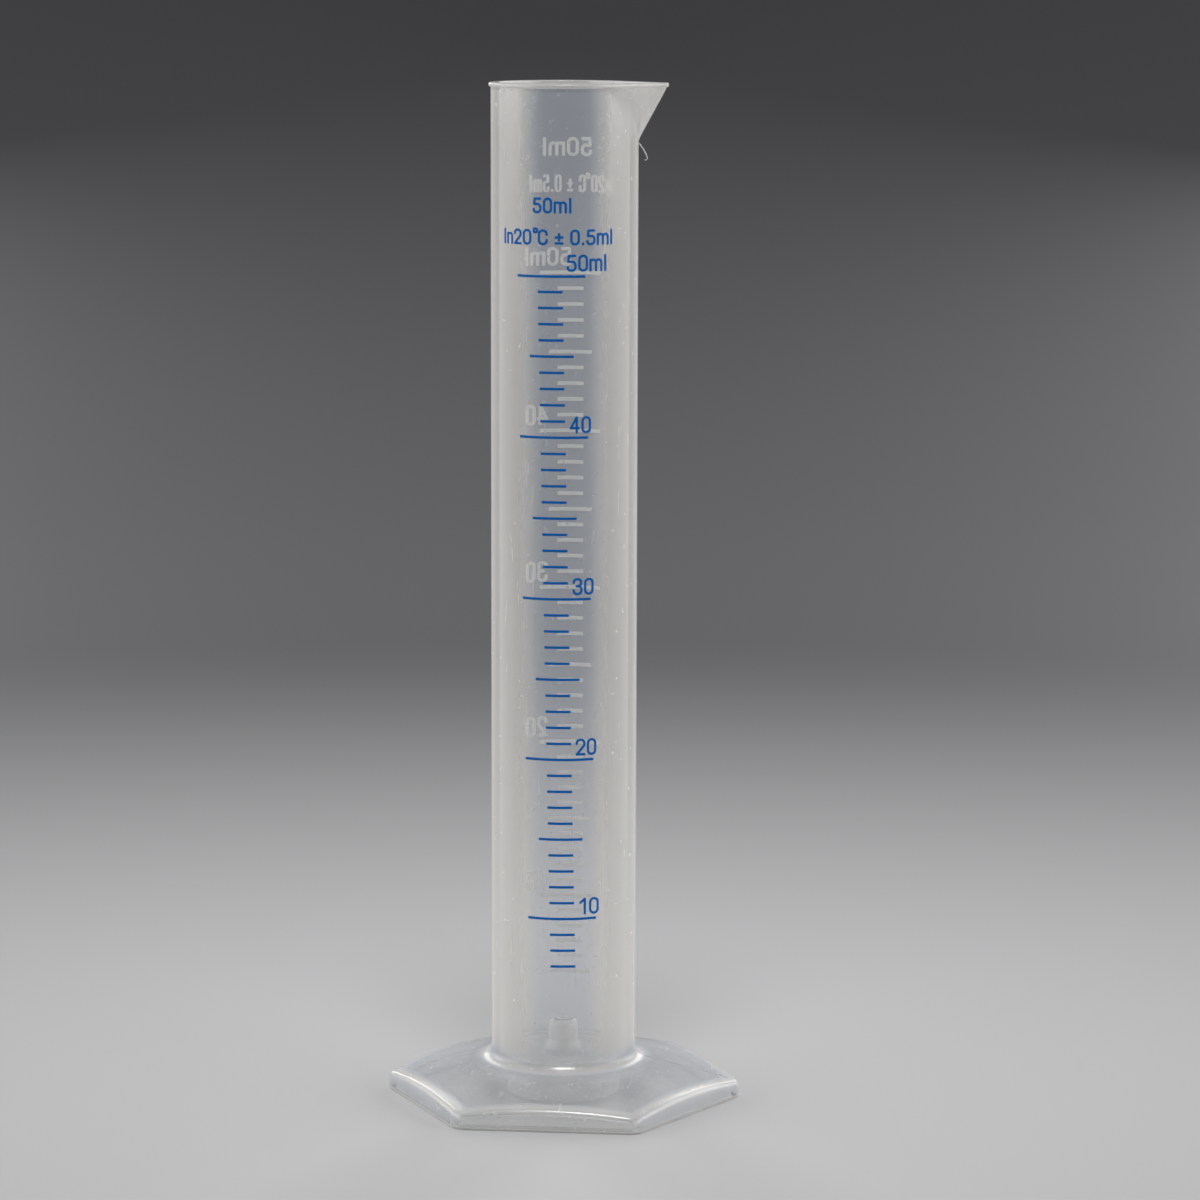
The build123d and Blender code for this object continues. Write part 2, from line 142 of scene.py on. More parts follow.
def soft_max(a, b, blend):
    mix = np.clip(0.5 + 0.5 * (a - b) / blend, 0, 1)
    return b + (a - b) * mix + blend * mix * (1 - mix)


def beak_radius(angle, tip, tip_round, touch_r, shift, grow):
    """Distance from the axis to the V of the spout, moved towards the axis by shift."""
    sharp = (tip - tip_round) / (1 - tip_round / touch_r)
    half = math.asin(touch_r / sharp)
    turn = np.abs(angle)
    centre = sharp - tip_round / math.sin(half) - shift
    around = tip_round + grow
    flank = (sharp - shift) * math.sin(half) + grow
    normal = math.pi / 2 - half
    along_flank = flank / np.cos(np.minimum(turn - normal, 0)) - np.maximum(turn - normal, 0) * BEAK_FALL
    round_end = np.arctan2(around * math.cos(half), centre + around * math.sin(half))
    inside = np.maximum(around**2 - (centre * np.sin(angle)) ** 2, 0)
    round_tip = centre * np.cos(angle) + np.sqrt(inside)
    return np.where(turn < round_end, round_tip, along_flank)


def outer_radius(angle, height, grow=0.0):
    shift = max(LIP - height, 0) * RIDGE_LEAN
    beak = beak_radius(angle, SPOUT_TIP, SPOUT_TIP_ROUND, TUBE_R, shift, grow)
    return soft_max(beak, np.full_like(angle, TUBE_R + grow), CREASE)


def inner_radius(angle, height, grow=0.0):
    shift = max(LIP - height, 0) * RIDGE_LEAN
    beak = beak_radius(angle, POUR_TIP, POUR_TIP_ROUND, BORE_R, shift, grow)
    return soft_max(beak, np.full_like(angle, BORE_R + grow), CREASE)


def hexagon(angle, apothem, corner_round):
    """Radius of a hexagon with rounded corners, and the cosine between radius and outline's normal."""
    from_side = np.abs((np.degrees(angle) % 60) - 30)
    delta = np.radians(from_side)
    centre = (apothem - corner_round) / math.cos(HALF_SIDE)
    corner_starts = math.atan2((apothem - corner_round) * math.tan(HALF_SIDE), apothem)
    gamma = HALF_SIDE - delta
    radius = centre * np.cos(gamma) + np.sqrt(corner_round**2 - (centre * np.sin(gamma)) ** 2
                                              * (delta > corner_starts))
    lean_round = np.sqrt(1 - np.clip(centre * np.sin(gamma) / corner_round, -1, 1) ** 2)
    flat = delta <= corner_starts
    return np.where(flat, apothem / np.cos(delta), radius), np.where(flat, np.cos(delta), lean_round)


def rounded_path(points, radii, steps=6):
    """A polyline with its inner corners rounded, as a list of points."""
    path = [np.array(points[0], float)]
    for before, corner, after, radius in zip(points, points[1:], points[2:], radii):
        before, corner, after = (np.array(p, float) for p in (before, corner, after))
        if radius == 0:
            path.append(corner)
            continue
        to_before = (before - corner) / np.linalg.norm(before - corner)
        to_after = (after - corner) / np.linalg.norm(after - corner)
        half = math.acos(np.clip(to_before @ to_after, -1, 1)) / 2
        bisector = (to_before + to_after) / np.linalg.norm(to_before + to_after)
        centre = corner + bisector * radius / math.sin(half)
        start = corner + to_before * radius / math.tan(half) - centre
        end = corner + to_after * radius / math.tan(half) - centre
        first = math.atan2(start[1], start[0])
        sweep = (math.atan2(end[1], end[0]) - first + math.pi) % (2 * math.pi) - math.pi
        for step in range(steps + 1):
            a = first + sweep * step / steps
            path.append(centre + radius * np.array([math.cos(a), math.sin(a)]))
    path.append(np.array(points[-1], float))
    return path


# ---- The moulding, as one skin -----------------------------------------------------------------

def column_angles():
    """Azimuths of the mesh's columns: closer at the spout, the foot's corners and the parting line."""
    degrees = set(np.arange(-180, 180, 1.25).round(3))
    degrees |= set(np.arange(-50, 50.1, 0.625).round(3))
    for corner in range(-180, 180, 60):
        degrees |= set((corner + np.arange(-3.125, 3.2, 0.625)).round(3))
    for side in (0, -180):
        degrees |= {round(side + d, 3) for d in (-0.75, -0.5, -0.25, 0, 0.25, 0.5, 0.75)}
    wrapped = sorted({round((d + 180) % 360 - 180, 3) for d in degrees})
    return np.radians(np.array(wrapped))


class Skin:
    """Rings of points round the tube's axis, from one pole to the other."""

    def __init__(self, angle):
        self.angle = angle
        self.rings = []

    def ring(self, radius, height):
        ones = np.ones_like(self.angle)
        self.rings.append((radius * ones, height * ones))

    def rings_along(self, path):
        for radius, height in path:
            self.ring(radius, height)


def add_inside(skin):
    """Gate boss, floor and bore, from the axis up to the lip."""
    boss = rounded_path(
        [(0, BOSS_TOP), (BOSS_R, BOSS_TOP), (BOSS_R + BOSS_FLARE, BOSS_SHOULDER),
         (BOSS_BASE_R, FLOOR_TOP + BOSS_STEP), (BOSS_BASE_R + 0.02, FLOOR_TOP), (BORE_R, FLOOR_TOP),
         (BORE_R, FLOOR_TOP + LEG)],
        [*BOSS_ROUNDS, FLOOR_CORNER], 5)
    skin.rings_along(boss[1:])
    spout_starts = SPOUT_BASE - SPOUT_RUN_OUT
    for height in np.linspace(FLOOR_TOP + 2 * LEG, spout_starts, TUBE_RINGS):
        skin.ring(BORE_R, height)
    for height in np.linspace(spout_starts, LIP, SPOUT_RINGS)[1:]:
        skin.ring(inner_radius(skin.angle, height), height)
    for height in np.linspace(LIP, HEIGHT - LIP_ROUND, 3)[1:]:
        skin.ring(inner_radius(skin.angle, height), height)


def add_rim(skin):
    """The lip's flat top and the bead round it."""
    for turn in np.radians([30, 60, 90]):
        lip = inner_radius(skin.angle, HEIGHT, LIP_ROUND * (1 - math.cos(turn)))
        skin.ring(lip, HEIGHT - LIP_ROUND * (1 - math.sin(turn)))
    for turn in np.radians([0, 22.5, 45, 67.5, 90]):
        grow = BEAD - BEAD_ROUND * (1 - math.sin(turn))
        skin.ring(outer_radius(skin.angle, HEIGHT, grow), HEIGHT - BEAD_ROUND * (1 - math.cos(turn)))
    for turn in np.radians([0, 45, 90]):
        grow = BEAD - LIP_ROUND * (1 - math.cos(turn))
        skin.ring(outer_radius(skin.angle, HEIGHT, grow), LIP + LIP_ROUND * (1 - math.sin(turn)))
    skin.ring(outer_radius(skin.angle, LIP, BEAD_FILLET_OUT), LIP)
    skin.ring(outer_radius(skin.angle, LIP), LIP - BEAD_FILLET_DOWN)


def add_outside(skin):
    """Spout, tube and the fillet that runs out into the foot's cone."""
    spout_ends = SPOUT_BASE - SPOUT_RUN_OUT
    for height in np.linspace(LIP, spout_ends, SPOUT_RINGS)[1:]:
        skin.ring(outer_radius(skin.angle, height), height)
    root = rounded_path(
        [(TUBE_R, FOOT_ROOT + LEG), (TUBE_R, FOOT_ROOT), (TUBE_R + LEG, cone_z(TUBE_R + LEG))],
        [FOOT_ROOT_FILLET], 8)
    for height in np.linspace(spout_ends, root[1][1] + ABOVE_ROOT, TUBE_RINGS)[1:]:
        skin.ring(TUBE_R, height)
    skin.rings_along(root[1:-1])
    return root[-2][0]


def add_foot_top(skin, cone_starts):
    """Cone, rounded edge and side faces of the hexagon, down to the rim it stands on."""
    side, lean = hexagon(skin.angle, FOOT_APOTHEM, FOOT_CORNER_ROUND)
    top_edge = cone_z(side)
    side_top = side - top_edge * FOOT_DRAFT / lean
    corner = cone_z(side_top)
    slope = FOOT_SLOPE / lean
    inward = np.stack([np.ones_like(slope), slope]) / np.sqrt(1 + slope**2)
    down = np.array([-FOOT_DRAFT, -1.0])[:, None] / math.hypot(FOOT_DRAFT, 1.0)
    half = np.arccos((inward * down).sum(0)) / 2
    reach = FOOT_EDGE / np.tan(half)
    bisector = (inward + down) / np.linalg.norm(inward + down, axis=0)
    centre = bisector * FOOT_EDGE / np.sin(half)
    start = inward * reach - centre
    end = down * reach - centre
    first = np.arctan2(start[1], start[0])
    sweep = (np.arctan2(end[1], end[0]) - first + math.pi) % (2 * math.pi) - math.pi
    edge_starts = side_top - (inward * reach)[0] / lean
    for share in np.linspace(0, 1, 9)[1:-1]:
        radius = cone_starts + (edge_starts - cone_starts) * share
        skin.ring(radius, cone_z(radius))
    for share in np.linspace(0, 1, 8):
        turn = first + sweep * share
        across = centre[0] + FOOT_EDGE * np.cos(turn)
        rise = centre[1] + FOOT_EDGE * np.sin(turn)
        skin.ring(side_top - across / lean, corner + rise)
    side_ends = corner + centre[1] + FOOT_EDGE * np.sin(first + sweep)
    for share in (0.35, 0.7):
        height = side_ends + (FOOT_RIM_ROUND - side_ends) * share
        skin.ring(side - height * FOOT_DRAFT / lean, height)
    for turn in np.radians(np.linspace(0, 90, FOOT_RIM_RINGS)):
        inset = FOOT_RIM_ROUND * (1 - math.cos(turn))
        skin.ring(side - inset / lean, FOOT_RIM_ROUND * (1 - math.sin(turn)))


def add_underside(skin):
    """Rim, hollow of the foot, support ring, floor's underside and gate well, in to the axis."""
    inner_apothem = FOOT_APOTHEM - FOOT_WALL
    wall, lean = hexagon(skin.angle, inner_apothem, FOOT_CORNER_ROUND - FOOT_WALL)
    for turn in np.radians(np.linspace(90, 0, FOOT_RIM_RINGS)):
        inset = FOOT_RIM_ROUND * (1 - math.cos(turn))
        skin.ring(wall + inset / lean, FOOT_RIM_ROUND * (1 - math.sin(turn)))
    drop = FOOT_WALL * math.hypot(1, FOOT_SLOPE)
    wall_top = wall - (cone_z(wall) - drop) * FOOT_DRAFT / lean
    ceiling = cone_z(wall_top) - drop
    skin.ring(wall - 0.5 * ceiling * FOOT_DRAFT / lean, ceiling * 0.5)
    skin.ring(wall_top + 0.02, ceiling - FOOT_CEILING_ROUND)
    skin.ring(wall_top - 0.12, ceiling - 0.12)
    ceiling_starts = wall_top - FOOT_CEILING_ROUND
    skin.ring(ceiling_starts, cone_z(ceiling_starts) - drop)
    root = TUBE_R + (FOOT_ROOT - drop - FLOOR_UNDER) / FOOT_SLOPE
    for share in np.linspace(0, 1, 7)[1:]:
        radius = ceiling_starts * (1 - share) + root * share
        skin.ring(radius, cone_z(radius) - drop)
    under = rounded_path(
        [(root - 0.3, FLOOR_UNDER), (RING_TOP_R, FLOOR_UNDER), (RING_BOTTOM_R, ring_low.z),
         (RING_BOTTOM_R - RING_WALL, ring_low.z), (RING_TOP_R - RING_WALL, FLOOR_UNDER),
         (WELL_R, FLOOR_UNDER), (WELL_R, WELL_TOP), (0, WELL_TOP)],
        UNDERSIDE_ROUNDS, 4)
    skin.rings_along(under[:-1])


def raise_parting_line(points, first_row, last_row):
    """Lifts the mould's witness line along both sides of the tube, the spout's ridge and the foot."""
    around = np.roll(points, -1, axis=1) - np.roll(points, 1, axis=1)
    along = np.zeros_like(points)
    along[1:-1] = points[2:] - points[:-2]
    normal = np.cross(along, around)
    normal /= np.maximum(np.linalg.norm(normal, axis=2, keepdims=True), 1e-9)
    from_middle = np.abs(points[:, :, 1])
    lift = np.clip((PARTING_HALF + PARTING_MARGIN - from_middle) / PARTING_FLANK, 0, 1) * PARTING_PROUD
    lift *= np.clip((PARTING_END - np.abs(points[:, :, 0])) / PARTING_RUN_OUT, 0, 1)
    lift[:first_row] = 0
    lift[last_row:] = 0
    # a small share of the upward part settles the sign where a face is level
    outwards = np.sign(normal[:, :, :1] * points[:, :, :1] + normal[:, :, 2:] * 0.001)
    return points + normal * outwards * lift[:, :, None]


def thread(path, radius, first_index, sides=6):
    """Vertices and faces of a thin tube that tapers along a path in the XZ plane."""
    path = np.array(path, float)
    along = np.gradient(path, axis=0)
    across = np.stack([-along[:, 2], np.zeros(len(path)), along[:, 0]], axis=1)
    across /= np.linalg.norm(across, axis=1, keepdims=True)
    vertices, faces = [], []
    for step, (point, side) in enumerate(zip(path, across)):
        size = radius * (1 - FLASH_TAPER * step / len(path))
        for turn in np.linspace(0, 2 * math.pi, sides, endpoint=False):
            vertices.append(point + size * (side * math.cos(turn) + np.array([0, 1, 0]) * math.sin(turn)))
    for step in range(len(path) - 1):
        for k in range(sides):
            a, b = step * sides + k, step * sides + (k + 1) % sides
            faces.append(tuple(first_index + i for i in (a, b, b + sides, a + sides)))
    last = (len(path) - 1) * sides
    faces.append(tuple(first_index + k for k in reversed(range(sides))))
    faces.append(tuple(first_index + last + k for k in range(sides)))
    return vertices, faces


def mesh_from_rings(name, points, pole_first, pole_last, extra_path, extra_radius):
    rows, columns = points.shape[:2]
    vertices = [pole_first, *points.reshape(-1, 3), pole_last]
    index = 1 + np.arange(rows * columns).reshape(rows, columns)
    following = np.roll(index, -1, axis=1)
    quads = np.stack([index[:-1], following[:-1], following[1:], index[1:]], axis=-1).reshape(-1, 4)
    last = len(vertices) - 1
    fans = [(0, int(b), int(a)) for a, b in zip(index[0], following[0])]
    fans += [(last, int(a), int(b)) for a, b in zip(index[-1], following[-1])]
    mesh = bpy.data.meshes.new(name)
    faces = fans + [tuple(int(v) for v in quad[::-1]) for quad in quads]
    extra_vertices, extra_faces = thread(extra_path, extra_radius, len(vertices))
    vertices += extra_vertices
    faces += extra_faces
    mesh.from_pydata([tuple(np.asarray(v) * MM) for v in vertices], [], faces)
    mesh.validate()
    mesh.update()
    mesh.shade_smooth()
    return mesh


def moulded_body():
    """The whole polypropylene moulding as one closed skin, inside and out."""
    skin = Skin(column_angles())
    add_inside(skin)
    add_rim(skin)
    outside_starts = len(skin.rings)
    cone_starts = add_outside(skin)
    add_foot_top(skin, cone_starts)
    outside_ends = len(skin.rings) - FOOT_RIM_RINGS - 1
    add_underside(skin)
    radius = np.array([r for r, _ in skin.rings])
    height = np.array([z for _, z in skin.rings])
    points = np.stack([radius * np.cos(skin.angle), radius * np.sin(skin.angle), height], axis=2)
    points = raise_parting_line(points, outside_starts, outside_ends)
    mesh = mesh_from_rings("moulded_body", points, (0, 0, BOSS_TOP), (0, 0, WELL_TOP),
                           FLASH_PATH, FLASH_RADIUS)
    body = bpy.data.objects.new("moulded_body", mesh)
    bpy.context.scene.collection.objects.link(body)
    return body


# ---- Materials ---------------------------------------------------------------------------------

class Graph:
    """Short names for building a material's nodes."""

    def __init__(self, name):
        self.material = bpy.data.materials.new(name)
        self.material.use_nodes = True
        self.tree = self.material.node_tree
        self.tree.nodes.clear()

    def node(self, kind, **settings):
        made = self.tree.nodes.new(kind)
        for key, value in settings.items():
            setattr(made, key, value)
        return made

    def feed(self, socket, value):
        if isinstance(value, bpy.types.NodeSocket):
            self.tree.links.new(value, socket)
        else:
            socket.default_value = value

    def math(self, operation, a, b=0.0, clamp=False):
        made = self.node("ShaderNodeMath", operation=operation, use_clamp=clamp)
        self.feed(made.inputs[0], a)
        self.feed(made.inputs[1], b)
        return made.outputs[0]

    def product(self, first, *others):
        for other in others:
            first = self.math("MULTIPLY", first, other)
        return first

    def math_add(self, value, factor, base):
        """value * factor + base"""
        made = self.node("ShaderNodeMath", operation="MULTIPLY_ADD")
        for socket, part in zip(made.inputs, (value, factor, base)):
            self.feed(socket, part)
        return made.outputs[0]

    def where(self, scale=(1, 1, 1), turn=(0, 0, 0)):
        place = self.node("ShaderNodeTexCoord")
        mapping = self.node("ShaderNodeMapping")
        self.feed(mapping.inputs["Vector"], place.outputs["Object"])
        mapping.inputs["Scale"].default_value = scale
        mapping.inputs["Rotation"].default_value = turn
        return mapping.outputs[0]

    def noise(self, vector, scale, detail=2.0, roughness=0.5):
        made = self.node("ShaderNodeTexNoise")
        self.feed(made.inputs["Vector"], vector)
        made.inputs["Scale"].default_value = scale
        made.inputs["Detail"].default_value = detail
        made.inputs["Roughness"].default_value = roughness
        return made.outputs["Fac"]

    def ramp(self, value, low, high):
        """Smooth step from 0 at low to 1 at high, which may be the lower number."""
        made = self.node("ShaderNodeMapRange", interpolation_type="SMOOTHSTEP")
        self.feed(made.inputs["Value"], value)
        made.inputs["From Min"].default_value = low
        made.inputs["From Max"].default_value = high
        return made.outputs["Result"]

    def blend(self, share, low, high):
        made = self.node("ShaderNodeMix", data_type="RGBA")
        self.feed(made.inputs["Factor"], share)
        self.feed(made.inputs["A"], low)
        self.feed(made.inputs["B"], high)
        return made.outputs["Result"]

    def mix(self, share, first, second):
        made = self.node("ShaderNodeMixShader")
        self.feed(made.inputs[0], share)
        self.feed(made.inputs[1], first)
        self.feed(made.inputs[2], second)
        return made.outputs[0]


# Stretches over which the moulding turns whiter, in millimetres: (where it starts, where it is full)
EDGE_ACROSS_IN = (23.4, 25.9)           # measured square to the hexagon's sides
EDGE_ACROSS_OUT = (26.42, 26.2)
EDGE_Z = (1.2, 2.4)
# the band along the edge the foot stands on is a painted highlight, standing for that edge's reflection
FOOT_LINE_HIGHLIGHT_Z = (0.85, 0.35)
ROOT_RADIUS_OUT = (14.6, 13.2)
ROOT_RADIUS_IN = (12.3, 13.0)
ROOT_Z = (6.2, 6.6)
FLOOR_RADIUS = (11.2, 10.6)
FLOOR_Z = (FLOOR_TOP + 0.9, FLOOR_TOP + 0.2)
RIM_Z = (HEIGHT - 0.8, HEIGHT - 0.65)
RIDGE_HALF = (1.9, 1.0)
RIDGE_X = (TUBE_R, TUBE_R + 0.6)
RIDGE_Z = (SPOUT_BASE - 1, SPOUT_BASE + 0.3)
BOSS_RADIUS = (BOSS_BASE_R + 0.6, BOSS_R)
BOSS_Z = (BOSS_TOP + 2, BOSS_TOP + 1)
# and over which it turns clearer: the foot's cone, and a gap just under the rim
CONE_RADIUS = (14.0, 15.5)
CONE_ACROSS = (25.0, 23.6)
GAP_LOWER_Z = (HEIGHT - 1.3, HEIGHT - 1.1)
GAP_UPPER_Z = (HEIGHT - 0.8, HEIGHT - 0.9)

ROOT_WHITE = 0.9
FLOOR_WHITE = 0.45
BOSS_WHITE = 0.75
CONE_CLEAR = -0.24
GAP_CLEAR = -0.14


def whiter_places_and_painted_highlight(g):
    """Up to 1 where the moulding is thicker or bent sharply and looks whiter, and along the bottom edge,
    where the whitening is a painted highlight; below 0 where it is clearer.
    """
    spot = g.node("ShaderNodeSeparateXYZ")
    g.feed(spot.inputs[0], g.where((1 / MM, 1 / MM, 1 / MM)))
    x, y, z = spot.outputs
    across = []
    for turn in (30, 90, 150):
        along_x = g.product(x, math.cos(math.radians(turn)))
        along_y = g.product(y, math.sin(math.radians(turn)))
        across.append(g.math("ABSOLUTE", g.math("ADD", along_x, along_y)))
    out = g.math("MAXIMUM", g.math("MAXIMUM", across[0], across[1]), across[2])
    radius = g.math("SQRT", g.math("ADD", g.product(x, x), g.product(y, y)))

    places = [
        g.product(g.ramp(out, *EDGE_ACROSS_IN), g.ramp(out, *EDGE_ACROSS_OUT), g.ramp(z, *EDGE_Z)),
        # painted highlight: the whiter band along the bottom edge
        g.ramp(z, *FOOT_LINE_HIGHLIGHT_Z),
        g.product(g.ramp(radius, *ROOT_RADIUS_OUT), g.ramp(radius, *ROOT_RADIUS_IN),
                  g.ramp(z, *ROOT_Z), ROOT_WHITE),
        g.product(g.ramp(radius, *FLOOR_RADIUS), g.ramp(z, *FLOOR_Z), FLOOR_WHITE),
        g.ramp(z, *RIM_Z),
        g.product(g.ramp(g.math("ABSOLUTE", y), *RIDGE_HALF), g.ramp(x, *RIDGE_X),
                  g.ramp(z, *RIDGE_Z)),
        g.product(g.ramp(radius, *BOSS_RADIUS), BOSS_WHITE, g.ramp(z, *BOSS_Z)),
    ]
    most = places[0]
    for place in places[1:]:
        most = g.math("MAXIMUM", most, place)
    cone = g.product(g.ramp(radius, *CONE_RADIUS), g.ramp(out, *CONE_ACROSS))
    gap = g.product(g.ramp(z, *GAP_LOWER_Z), g.ramp(z, *GAP_UPPER_Z))
    return g.math_add(gap, GAP_CLEAR, g.math_add(cone, CONE_CLEAR, most))


# The plastic's values, some of them partly painted light. VEIL_BASE to VEIL_TURNED multiply haze, and
# heights are in metres.
VEIL_BASE = 0.7
VEIL_CLOUDS = 0.5
VEIL_STREAKS = 0.22
VEIL_THICK = 3.5
# VEIL_TURNED and TURNED_PATH_AND_PAINTED_LIGHT whiten the wall where it turns away from view: partly the
# longer path through the plastic, partly painted light standing for the side softboxes' light
VEIL_TURNED = 0.5
VEIL_MOST = 0.94                        # the plastic never hides what is behind it completely
LEAST_COSINE = 0.14                     # keeps the veil finite where the wall is seen edge-on
TURNED_PATH_AND_PAINTED_LIGHT = (0.04, 0.18)                   # Facing, from square on to a little turned away
MARKS = 0.26
SCUFF_SHARE = 0.7
TOP_Z = (0.145, 0.168)
TOP_SPECKS = 0.022                      # there are a few more specks near the top
SPECKS = (0.73, 0.78)                   # noise levels between which each kind of mark fades in
SCUFFS = (0.66, 0.74)
NICKS = (0.64, 0.70)
ON_FOOT_Z = (0.0075, 0.0065)
ABOVE_FOOT_Z = (0.007, 0.010)
FOOT_WARMTH = 0.4
THICK_WARMTH = 1.6
WARM_TURNED = (0.04, 0.22)
WARM_TONE = (0.975, 0.96, 0.94, 1)
COOL_TONE = (0.78, 0.85, 0.96, 1)       # thin wall seen square on
RELIEF_TONE = (0.97, 0.955, 0.925, 1)
CLEAR_TONE = (0.99, 0.985, 0.975, 1)
MILK_GLOW = 0.45
PLASTIC_IOR = 1.49
GLOSS_ROUGHNESS = 0.18
GRAZING = (0.8, 1.0)
SHINE_BASE = 0.27
SHINE_GRAZING = 0.4
SHINE_THICK = 0.09


def polypropylene(name, haze, solid_parts=True):
    """Milky translucent plastic, with painted light on its turned sides and its bottom edge. haze is how
    much one surface veils what is behind it, seen square on.
    """
    g = Graph(name)
    clouds = g.noise(g.where((1, 1, 0.45)), scale=55, detail=3)
    streaks = g.noise(g.where((1, 1, 0.05)), scale=420, detail=2)
    grain = g.noise(g.where(), scale=2600, detail=2)
    height = g.node("ShaderNodeSeparateXYZ")
    g.feed(height.inputs[0], g.where())
    near_top = g.ramp(height.outputs["Z"], *TOP_Z)
    dots = g.noise(g.where(), scale=900, detail=1)
    specks = g.ramp(g.math_add(near_top, TOP_SPECKS, dots), *SPECKS)
    long_marks = g.noise(g.where((1, 1, 0.12), (0.5, 0.35, 0)), scale=700, detail=3, roughness=0.6)
    scuffs = g.ramp(long_marks, *SCUFFS)
    on_foot = g.ramp(height.outputs["Z"], *ON_FOOT_Z)
    foot_marks = g.noise(g.where((1, 0.25, 1), (0, 0, 0.6)), scale=650, detail=3, roughness=0.6)
    nicks = g.ramp(foot_marks, *NICKS)
    scuffs = g.math("MAXIMUM", scuffs, g.math("MULTIPLY", nicks, on_foot))
    # the thick places, and the painted highlight along the bottom edge
    thickness_and_painted_highlight = whiter_places_and_painted_highlight(g) if solid_parts else 0.0

    facing = g.node("ShaderNodeLayerWeight")
    facing.inputs["Blend"].default_value = 0.5
    cosine = g.math("MAXIMUM", g.math("SUBTRACT", 1.0, facing.outputs["Facing"]), LEAST_COSINE)
    varied = g.math_add(clouds, haze * VEIL_CLOUDS, haze * VEIL_BASE)
    varied = g.math_add(streaks, haze * VEIL_STREAKS, varied)
    varied = g.math_add(thickness_and_painted_highlight, haze * VEIL_THICK, varied)
    # partly painted light: the sides turned from view whiten as if lit from beside, on top of the longer
    # path
    varied = g.math_add(g.ramp(facing.outputs["Facing"], *TURNED_PATH_AND_PAINTED_LIGHT), haze * VEIL_TURNED, varied)
    # light crosses more plastic where the wall is seen edge-on
    depth = g.math("DIVIDE", varied, cosine)
    veil = g.math("SUBTRACT", 1.0, g.math("POWER", math.e, g.math("MULTIPLY", depth, -1.0)))
    marks = g.math("MULTIPLY", g.math("MAXIMUM", specks, g.math("MULTIPLY", scuffs, SCUFF_SHARE)), MARKS)
    veil = g.math("MINIMUM", g.math("ADD", veil, marks), VEIL_MOST)

    high = g.ramp(height.outputs["Z"], *ABOVE_FOOT_Z)
    warmth = g.math("MULTIPLY", g.ramp(facing.outputs["Facing"], *WARM_TURNED), high)
    warmth = g.math("MAXIMUM", warmth, g.math_add(high, -FOOT_WARMTH, FOOT_WARMTH))
    warmth = g.math("MAXIMUM", warmth, g.math("MULTIPLY", thickness_and_painted_highlight, THICK_WARMTH), clamp=True)
    tone = g.blend(warmth, COOL_TONE if solid_parts else RELIEF_TONE, WARM_TONE)
    bump = g.node("ShaderNodeBump")
    bump.inputs["Strength"].default_value = 0.15
    bump.inputs["Distance"].default_value = 0.0002
    g.feed(bump.inputs["Height"], g.math_add(streaks, 0.7, grain))

    solid = g.node("ShaderNodeBsdfPrincipled")
    g.feed(solid.inputs["Base Color"], tone)
    solid.inputs["Specular IOR Level"].default_value = 0.0
    solid.inputs["Roughness"].default_value = 0.6
    glow = g.node("ShaderNodeBsdfTranslucent")
    g.feed(glow.inputs["Color"], tone)
    milk = g.mix(MILK_GLOW, solid.outputs[0], glow.outputs[0])
    through = g.node("ShaderNodeBsdfTransparent")
    through.inputs["Color"].default_value = CLEAR_TONE
    shell = g.mix(veil, through.outputs[0], milk)

    gloss = g.node("ShaderNodeBsdfGlossy")
    g.feed(gloss.inputs["Roughness"], g.math_add(scuffs, 0.2, GLOSS_ROUGHNESS))
    g.feed(gloss.inputs["Normal"], bump.outputs[0])
    fresnel = g.node("ShaderNodeFresnel")
    fresnel.inputs["IOR"].default_value = PLASTIC_IOR
    g.feed(fresnel.inputs["Normal"], bump.outputs[0])
    grazing = g.math_add(g.ramp(facing.outputs["Facing"], *GRAZING), SHINE_GRAZING, SHINE_BASE)
    shine = g.math("MULTIPLY", fresnel.outputs[0], grazing)
    shine = g.math_add(g.math("MAXIMUM", thickness_and_painted_highlight, 0.0), SHINE_THICK, shine)
    surface = g.mix(shine, shell, gloss.outputs[0])
    out = g.node("ShaderNodeOutputMaterial")
    g.feed(out.inputs["Surface"], surface)
    return g.material


INK_DEEP = (0.001, 0.10, 0.42, 1)
INK_BRIGHT = (0.004, 0.19, 0.64, 1)


def ink():
    """Screen-printed blue ink: slightly uneven coverage and a faint sheen."""
    g = Graph("scale_ink")
    patches = g.noise(g.where(), scale=900, detail=3)
    pinholes = g.noise(g.where(), scale=5200, detail=2)
    solid = g.node("ShaderNodeBsdfPrincipled")
    g.feed(solid.inputs["Base Color"], g.blend(patches, INK_DEEP, INK_BRIGHT))
    g.feed(solid.inputs["Roughness"], g.math_add(pinholes, 0.25, 0.3))
    solid.inputs["Specular IOR Level"].default_value = 0.2
    bump = g.node("ShaderNodeBump")
    bump.inputs["Strength"].default_value = 0.3
    bump.inputs["Distance"].default_value = 0.00002
    g.feed(bump.inputs["Height"], pinholes)
    g.feed(solid.inputs["Normal"], bump.outputs[0])
    out = g.node("ShaderNodeOutputMaterial")
    g.feed(out.inputs["Surface"], solid.outputs[0])
    return g.material


def dress(obj, material):
    obj.data.materials.clear()
    obj.data.materials.append(material)


# ---- Stage, lights and camera ------------------------------------------------------------------

CAMERA_AZIMUTH = math.radians(6.158)      # how far round from -Y towards +X it stands
CAMERA_DISTANCE = 0.7223
CAMERA_HEIGHT = 0.1940
CAMERA_PITCH = math.radians(8.576)
CAMERA_YAW = math.radians(0.481)          # it looks a little to the right of the axis
CAMERA_ROLL = math.radians(0.143)
CAMERA_SENSOR = 36
CAMERA_LENS = 130.2

FLOOR_R = 0.7
SWEEP_R = 0.9
WALL_TOP = 1.9
STAGE_SEGMENTS = 96
